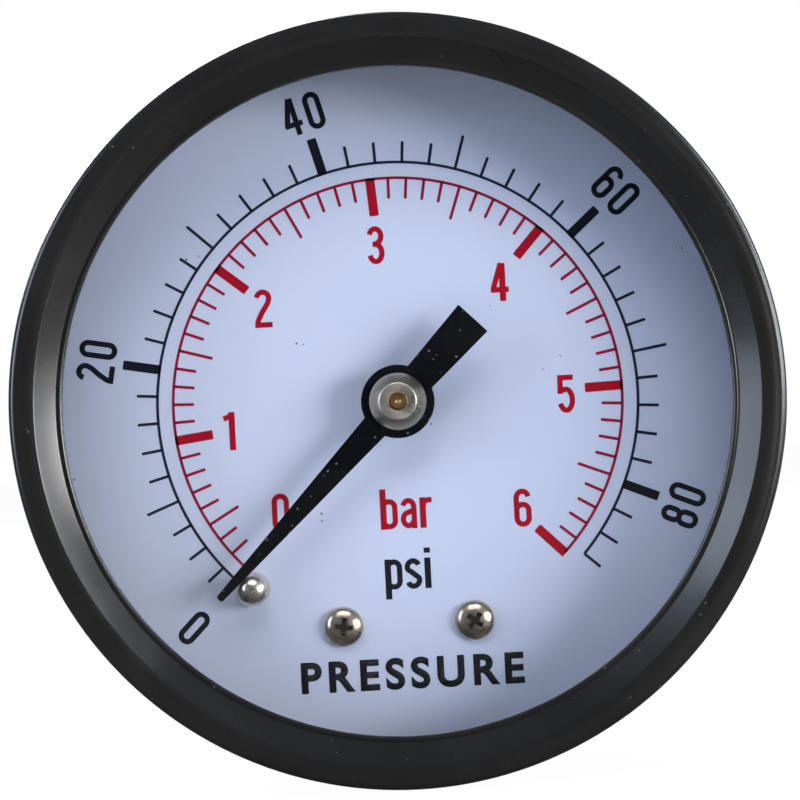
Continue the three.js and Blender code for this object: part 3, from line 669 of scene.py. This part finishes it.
stop_place = polar(16.7, 229.3)
crown, head, dome_height = -42.5, 1.2, 1.1
dome = [(head * cos(radians(a)), crown - dome_height * sin(radians(a))) for a in range(0, 91, 6)]
stop = turned("zero_stop", [
    (0, dial_back + 0.5), (0.9, dial_back + 0.5), (0.9, dial_back + 0.05),
    (0.6, dial_back + 0.05), (0.6, dial_face - 0.03), (head, dial_face - 0.03),
] + dome, stop_place, 64)
wear(stop, bright_metal("nickel_stop", stop_place, *NICKEL, 0.27, tarnish=0.14))
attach(stop, "root")
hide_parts("stop_pin")

small_screw_x, small_screw_z = 4.65, -15.7
for side, x, turn in (("left", -small_screw_x, 8), ("right", small_screw_x, 38)):
    screw = domed_screw(f"small_screw_{side}", (x, small_screw_z), 1.4, 0.9, 0.75, 3.6,
                        dial_face - 0.03, -1, turn)
    # The small screws wear the darker nickel, as painted shade.
    wear(screw, bright_metal(f"nickel_{side}_small_screw", (x, small_screw_z),
                             *SHADED_NICKEL, 0.26, shade_depth=dial_face - 0.75))
    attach(screw, "root")
    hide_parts(f"dial_screw_{side}")


# ---- Pointer ----
# A needle, a hub disc and a wide counterweight tail stamped from 0.3 mm aluminium in one
# piece, painted satin black. At rest it lies at 225 degrees, on zero.

pointer_back, pointer_thickness, pointer_rest = -43.3, 0.3, 225
hub, needle_length, tail_length = 2.58, 18.7, 7.88
tip_half, root_half, tail_root_half, tail_end_half = 0.27, 0.95, 1.14, 1.385
root_angle = degrees(acos(root_half / hub))
tail_angle = degrees(acos(tail_root_half / hub))
needle = (
    [(-tip_half + 0.1, needle_length), (-tip_half, needle_length - 0.12)]
    + arc((0, 0), hub, 180 - root_angle, 180 + tail_angle, 16)
    + [(-tail_end_half, -tail_length), (tail_end_half, -tail_length)]
    + arc((0, 0), hub, -tail_angle, root_angle, 16)
    + [(tip_half, needle_length - 0.12), (tip_half - 0.1, needle_length)]
)
lean = radians(pointer_rest - 90)
needle = [(x * cos(lean) - z * sin(lean), x * sin(lean) + z * cos(lean)) for x, z in needle]
pointer = plate("needle_and_tail", needle, pointer_back, pointer_back - pointer_thickness)
cut(pointer, turned("hole", [(0, -42), (1.3, -42), (1.3, -45), (0, -45)], steps=48))
soften(pointer, 0.05, 2, 40)
smooth(pointer, 40)

satin, satin_shader = finish(
    "satin_black_pointer", Roughness=0.36, IOR=1.46, Specular_IOR_Level=0.06,
)
place = object_place(satin)
cloud = noise(satin, place, 300, 3.0)
grains = dust_grains(satin, place, 1500, 0.55)
black = mix_colours(satin, cloud, (0.002, 0.0024, 0.003, 1), (0.004, 0.0046, 0.006, 1))
black = mix_colours(satin, grains, black, (0.2, 0.2, 0.22, 1))
satin.links.new(black, satin_shader.inputs["Base Color"])
satin.links.new(spread(satin, cloud, 0.3, 0.7, 0.34, 0.5), satin_shader.inputs["Roughness"])
fine = noise(satin, place, 6000, 2.0)
powder = node(satin, "Bump", {"Height": fine, "Strength": 0.2, "Distance": 0.01 * MM})
satin.links.new(powder, satin_shader.inputs["Normal"])
wear(pointer, satin)
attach(pointer, "pointer")
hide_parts("pointer")


# ---- Pointer bush and pinion shaft ----
# The bush is turned brass, nickel plated, with a wide chamfer. The blade sits between its
# two collars. The shaft's brass end, with its centre dimple, shows in the middle.

blade_front = pointer_back - pointer_thickness
bush = turned("pointer_bush_turned", [
    (0.57, pointer_back + 0.6), (1.75, pointer_back + 0.6), (1.75, pointer_back + 0.05),
    (1.24, pointer_back + 0.05), (1.24, blade_front - 0.05), (2, blade_front - 0.05),
    (2, blade_front - 0.35), (1.34, blade_front - 1.0), (1.28, blade_front - 1.05),
    (0.66, blade_front - 1.05), (0.57, blade_front - 0.96), (0.57, pointer_back + 0.6),
], steps=96, edge=0.03, angle=30)
wear(bush, bright_metal("nickel_bush", (0, 0), NICKEL[0], SHADED_NICKEL[0], 0.3, marks=14000,
                        depth=0.002, grooved=0.5))
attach(bush, "pointer")
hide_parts("pointer_bush")

shaft_end = blade_front - 1.33
brass_at_centre = bright_metal("brass_shaft", (0, 0), *COPPERY, 0.3, marks=16000, depth=0.004)
shaft_tip = turned("shaft_end", [
    (0, -43.9), (0.53, -43.9), (0.53, shaft_end + 0.08), (0.46, shaft_end), (0.24, shaft_end),
    (0.16, shaft_end + 0.1), (0, shaft_end + 0.2),
], steps=48, angle=30)
wear(shaft_tip, brass_at_centre)
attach(shaft_tip, "pointer")


# ---- Movement ----
# Stamped and turned brass behind the dial: two plates on three pillars, their screws, the
# toothed sector on its steel arbor, the link and the hairspring. These nodes keep their
# shapes and get the finish of each metal.

places = {}
for name in nodes:
    low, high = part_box(name)
    places[name] = ((low.x + high.x) / 2 / MM, (low.z + high.z) / 2 / MM)


def stamped_metal(name, light, dark, roughness):
    """Sheet metal with rolling lines along one way and faint stains."""
    tree, shader = finish(name, Metallic=1.0, Roughness=roughness, IOR=1.5)
    here = object_place(tree)
    stretched = node(tree, "Mapping", {"Vector": here, "Scale": (0.06, 1, 1)})
    lines = noise(tree, stretched, 7000, 2.0)
    stains = noise(tree, here, 380, 4.0, 0.6)
    tree.links.new(mix_colours(tree, stains, dark, light), shader.inputs["Base Color"])
    polish = spread(tree, stains, 0.3, 0.7, roughness * 1.25, roughness * 0.8)
    tree.links.new(polish, shader.inputs["Roughness"])
    bump = node(tree, "Bump", {"Height": lines, "Strength": 0.4, "Distance": 0.004 * MM})
    tree.links.new(bump, shader.inputs["Normal"])
    return tree


stamped_brass = stamped_metal("stamped_brass", *BRASS, 0.32)
stamped = ("movement_bottom_plate", "movement_top_plate", "sector_gear", "link")
turned_brass = ("pinion_shaft", "hairspring_collet", "hairspring_stud", "pillar_1", "pillar_2",
                "pillar_3", "plate_screw_1", "plate_screw_2", "plate_screw_3",
                "movement_screw_1", "movement_screw_2")
turned_steel = ("sector_arbor", "sector_link_pin", "tip_link_pin")
for name in stamped:
    wear(nodes[name], stamped_brass)
for name in turned_brass:
    wear(nodes[name], bright_metal(f"brass_{name}", places[name], *BRASS, 0.3))
for name in turned_steel:
    wear(nodes[name], bright_metal(f"steel_{name}", places[name], *STEEL, 0.28))
wear(nodes["hairspring"], stamped_metal("bronze_hairspring", *BRONZE, 0.28))
wear(nodes["tube_end_piece"], stamped_metal("cast_brass_end", *BRASS, 0.36))


# ---- Bourdon tube ----
# A flattened phosphor-bronze tube, 8 by 2.2 mm with a 0.3 mm wall, bent round a C. Its root
# is soldered in the socket, and its free end opens as pressure rises.

tube_radius, tube_thick, tube_wide, tube_wall, tube_middle = 19, 2.2, 8, 0.3, -32
root_turn, tip_turn = 253.5, -8.0


def tube_section(wall):
    """The flattened section, as (radius, depth) points."""
    end, half = tube_thick / 2, (tube_wide - tube_thick) / 2
    rim = arc((half, 0), end - wall, -90, 90, 8) + arc((-half, 0), end - wall, 90, 270, 8)
    return [(tube_radius + across, tube_middle + along) for along, across in rim]


def swept(name, section, start, end, steps):
    """A closed section swept round the dial's axis between two angles, its ends closed."""
    drop_selection()
    bpy.ops.mesh.primitive_circle_add(vertices=len(section), radius=MM, fill_type="NGON")
    piece = bpy.context.object
    piece.name = piece.data.name = name
    for vertex, (radius, depth) in zip(piece.data.vertices, section):
        x, z = polar(radius, start)
        vertex.co = (x * MM, depth * MM, z * MM)
    bpy.ops.object.mode_set(mode="EDIT")
    bpy.ops.mesh.select_all(action="SELECT")
    bpy.ops.mesh.spin(steps=steps, angle=radians(start - end), center=(0, 0, 0), axis=(0, 1, 0))
    face_outwards()
    bpy.ops.object.mode_set(mode="OBJECT")
    return piece


tube = swept("bent_tube", tube_section(0), root_turn, tip_turn, 120)
cut(tube, swept("tube_bore", tube_section(tube_wall), root_turn + 1, tip_turn - 1, 120))
smooth(tube, 40)
wear(tube, bright_metal("bronze_tube", (0, 0), *BRONZE, 0.3, marks=3000, depth=0.003))
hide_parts("bourdon_tube")
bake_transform(tube)


# ---- Socket ----
# One piece of machined brass: the G1/4 stem, the square for a 14 mm spanner, the shoulder
# through the case's back, and the block inside that carries the tube and the movement.

crest_radius, root_radius, pitch, thread_end = 6.578, 5.722, 1.337, -12.0
square_back, square_front, across_flats, shoulder = -13.2, -21.5, 14.0, 8.0
seat, boss_front = back_face - wall - 0.05, -29.0


def whitworth_thread(name):
    """The stem's threaded length: one long outline turned with the pitch, its ends trimmed."""
    one_pitch = [(root_radius, 0.06), (root_radius + 0.07, 0.13), (crest_radius - 0.07, 0.52),
                 (crest_radius, 0.6), (crest_radius, 0.74), (crest_radius - 0.07, 0.82),
                 (root_radius + 0.07, 1.21), (root_radius, 1.28)]
    outline = [(r, thread_end - 2 * pitch + pitch * k + y) for k in range(12) for r, y in one_pitch]
    piece = half_outline(name, outline)
    bpy.ops.object.mode_set(mode="OBJECT")
    apply_modifier(piece, "SCREW", axis="Y", angle=2 * pi, steps=72, render_steps=72,
                   screw_offset=pitch * MM, iterations=1, use_merge_vertices=True,
                   merge_threshold=1e-6, use_normal_calculate=True)
    drop_selection()
    bpy.context.view_layer.objects.active = piece
    piece.select_set(True)
    bpy.ops.object.mode_set(mode="EDIT")
    for depth, keep_inner in ((thread_end, False), (0.0, True)):
        bpy.ops.mesh.select_all(action="SELECT")
        bpy.ops.mesh.bisect(
            plane_co=(0, depth * MM, 0), plane_no=(0, 1, 0), use_fill=True, threshold=1e-8,
            clear_inner=not keep_inner, clear_outer=keep_inner,
        )
    bpy.ops.object.mode_set(mode="OBJECT")
    for vertex in piece.data.vertices:
        depth, radius = vertex.co.y / MM, hypot(vertex.co.x, vertex.co.z) / MM
        ends = min(-depth / 1.1, (depth - thread_end) / 0.7, 1)
        limit = root_radius - 0.2 + (crest_radius + 0.1 - root_radius + 0.2) * ends
        if radius > limit:
            vertex.co.x *= limit / radius
            vertex.co.z *= limit / radius
    bpy.ops.object.mode_set(mode="EDIT")
    bpy.ops.mesh.select_all(action="SELECT")
    bpy.ops.mesh.remove_doubles(threshold=4e-6)
    face_outwards()
    bpy.ops.object.mode_set(mode="OBJECT")
    return piece


def unite(piece, *others):
    """Makes one solid of a piece and the others."""
    for other in others:
        apply_modifier(piece, "BOOLEAN", operation="UNION", object=other, solver="EXACT")
        bpy.data.objects.remove(other)
    return piece


def common(piece, other):
    """Keeps what a piece shares with the other."""
    apply_modifier(piece, "BOOLEAN", operation="INTERSECT", object=other, solver="EXACT")
    bpy.data.objects.remove(other)
    return piece


def bar_round(points, radius, back, front, steps=12):
    """A flat bar with round ends of one radius at its points."""
    outline = []
    for i, (x, z) in enumerate(points):
        before, after = points[i - 1], points[(i + 1) % len(points)]
        arriving = degrees(atan2(z - before[1], x - before[0])) - 90
        leaving = degrees(atan2(after[1] - z, after[0] - x)) - 90
        outline += arc((x, z), radius, arriving, arriving + (leaving - arriving) % 360, steps)
    return plate("bar", outline, back, front)


def drill(place, radius, back, front, steps=32):
    """The shape of a drilled hole along the depth."""
    return turned("drill", [(0, back), (radius, back), (radius, front), (0, front)], place, steps)


relief = turned("relief", [
    (0, thread_end + 0.31), (5.3, thread_end + 0.31), (5.3, -12.9),
    (root_radius, square_back - 0.02), (0, square_back - 0.02),
], steps=90)
drop_selection()
bpy.ops.mesh.primitive_cube_add(size=MM)
square = bpy.context.object
square.scale = (across_flats, square_back - square_front, across_flats)
square.location = (0, (square_back + square_front) / 2 * MM, 0)
bpy.ops.object.transform_apply(location=True, rotation=True, scale=True)
square = common(square, turned("blank", [
    (0, square_back), (6.5, square_back), (6.9, square_back - 0.12), (shoulder, square_back - 0.8),
    (shoulder, square_front - 0.01), (0, square_front - 0.01),
], steps=120))
collar = turned("collar", [
    (0, square_front + 0.02), (shoulder - 0.15, square_front + 0.02),
    (shoulder, square_front - 0.13), (shoulder, seat - 0.5), (0, seat - 0.5),
], steps=120)
block_bottom, block_top, block_half_width, corner = -20.5, -12.9, 6.5, 0.6
low, high, side = block_bottom + corner, block_top - corner, block_half_width - corner
socket = unite(
    bar_round([(-case_screw_x, 0), (case_screw_x, 0)], 3.2, seat, seat - 3),
    turned("seat", [(0, seat), (9.2, seat), (9.2, seat - 3.02), (0, seat - 3.02)], steps=72),
    bar_round([(0, -14), (0, 0)], 5.6, seat + 0.001, boss_front),
    bar_round([(-side, low), (side, low), (side, high), (-side, high)], corner, seat + 0.002,
              dial_back + 0.05, 4),
    collar, square, relief, whitworth_thread("thread"),
)
movement_screws = ((-3.4, 3.2), (-2.4, -9))
pocket_section = [(tube_radius + across, tube_middle + along)
                  for across, along in ((-1.25, 4.15), (1.25, 4.15), (1.25, -4.15), (-1.25, -4.15))]
cut(
    socket,
    turned("inlet", [(0, 1), (2.9, 1), (2.9, 0.02), (2.5, -0.4), (2.5, -8), (1.25, -8.7),
                     (1.25, -25.6), (0, -26.2)], steps=48),
    swept("pocket", pocket_section, root_turn + 3, root_turn - 9, 8),
    *[drill((x, small_screw_z), 0.85, -36.6, dial_back - 1)
      for x in (-small_screw_x, small_screw_x)],
    *[drill(place, 0.8, boss_front + 2.9, boss_front - 1) for place in movement_screws],
    *[drill((x, 0), 1.35, seat + 1, seat - 4) for x in (-case_screw_x, case_screw_x)],
)
socket.name = socket.data.name = "brass_socket"
soften(socket, 0.05, 1, 55)
smooth(socket, 35)
wear(socket, bright_metal("machined_brass_socket", (0, 0), *BRASS, 0.3, marks=5000, depth=0.006))
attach(socket, "root")
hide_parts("socket")


# ---- Studio ----
# The gauge lies on its rim on a plain pale floor, in front of white. A large soft light and
# a tall one stand at the right, a tall bluish one at the left, and weaker ones above and
# behind. The room is dim and bluish, and brighter off to the sides than straight ahead.

bpy.ops.mesh.primitive_plane_add(size=6)
floor = bpy.context.object
floor.name = floor.data.name = "pale_floor"
floor.location = (0, 0, -rim_radius * MM - 0.0001)
pale, pale_shader = finish("pale_floor", Base_Color=(0.5, 0.5, 0.5, 1), Roughness=0.7)
rays = pale.nodes.new("ShaderNodeLightPath")


def seen_by(kind_of_ray, share, shader, light, strength):
    """Shows that kind of ray a plain light of the floor's own, over the shader."""
    emission = node(pale, "Emission", {"Color": (*light, 1), "Strength": strength})
    mixed = pale.nodes.new("ShaderNodeMixShader")
    factor = node(pale, "Math", {0: rays.outputs[kind_of_ray], 1: share}, operation="MULTIPLY")
    for socket, value in enumerate((factor, shader, emission)):
        pale.links.new(value, mixed.inputs[socket])
    return mixed.outputs[0]


floor_look = seen_by("Is Glossy Ray", 0.92, pale_shader.outputs[0], (1, 0.97, 0.93), 0.045)
floor_look = seen_by("Is Camera Ray", 0.86, floor_look, (1, 1, 1), 1.12)
pale.links.new(floor_look, pale.nodes["Material Output"].inputs["Surface"])
wear(floor, pale)


def soft_light(name, place, size, watts, colour):
    """A rectangular light, aimed at the middle of the dial."""
    drop_selection()
    bpy.ops.object.light_add(type="AREA", location=place)
    light = bpy.context.object
    light.name = name
    light.data.shape = "RECTANGLE"
    light.data.size, light.data.size_y = size
    light.data.energy = watts
    light.data.color = colour
    aim = bpy.context.object.location - frame_middle
    light.rotation_euler = aim.to_track_quat("Z", "Y").to_euler()
    return light


frame_middle = Vector((0, dial_face * MM, 0))
soft_light("key", (0.42, -0.37, -0.04), (0.3, 0.36), 4.7, (1.0, 0.985, 0.98))
soft_light("key_side", (0.5, -0.08, 0.0), (0.16, 0.75), 4.2, (0.84, 0.92, 1.0))
soft_light("fill", (-0.5, -0.27, 0.02), (0.3, 0.65), 3.2, (0.7, 0.82, 1.0))
top = soft_light("top", (0.0, -0.5, 0.5), (0.5, 0.25), 1.9, (1.0, 0.95, 0.88))
top.visible_glossy = False
soft_light("back", (-0.3, 0.5, 0.45), (0.5, 0.5), 9.0, (1.0, 0.99, 0.97))

world = bpy.data.worlds.new("white_room")
bpy.context.scene.world = world
world.use_nodes = True
sky = world.node_tree
white_wall = sky.nodes["Background"]
white_wall.inputs["Color"].default_value = (1, 1, 1, 1)
white_wall.inputs["Strength"].default_value = 1.0
dim_room = sky.nodes.new("ShaderNodeBackground")
dim_room.inputs["Color"].default_value = (0.55, 0.72, 1.0, 1)
rays = sky.nodes.new("ShaderNodeLightPath")
looking = sky.nodes.new("ShaderNodeTexCoord").outputs["Generated"]
forward = node(sky, "VectorMath", {0: looking, 1: (0, -1, 0)},
               operation="DOT_PRODUCT").node.outputs["Value"]
gloss_strength = spread(sky, forward, 0.86, 0.97, 0.13, 0.02)
room_strength = spread(sky, rays.outputs["Is Diffuse Ray"], 0.0, 1.0, 0.0, 0.25)
sky.links.new(gloss_strength, room_strength.node.inputs[3])
sky.links.new(room_strength, dim_room.inputs["Strength"])
room_mix = sky.nodes.new("ShaderNodeMixShader")
sky.links.new(rays.outputs["Is Camera Ray"], room_mix.inputs[0])
sky.links.new(dim_room.outputs[0], room_mix.inputs[1])
sky.links.new(white_wall.outputs[0], room_mix.inputs[2])
sky.links.new(room_mix.outputs[0], sky.nodes["World Output"].inputs["Surface"])

camera_distance = 200
camera_drop = 3
bpy.ops.object.camera_add(
    location=(0, (rim_face - camera_distance) * MM, -camera_drop * MM),
    rotation=(pi / 2 + atan2(camera_drop, camera_distance), radians(3), 0))
camera = bpy.context.object
camera.data.lens = 132.6
camera.data.sensor_width = 36
camera.data.clip_start = 0.01
bpy.context.scene.camera = camera
bpy.context.scene.view_settings.view_transform = "Standard"
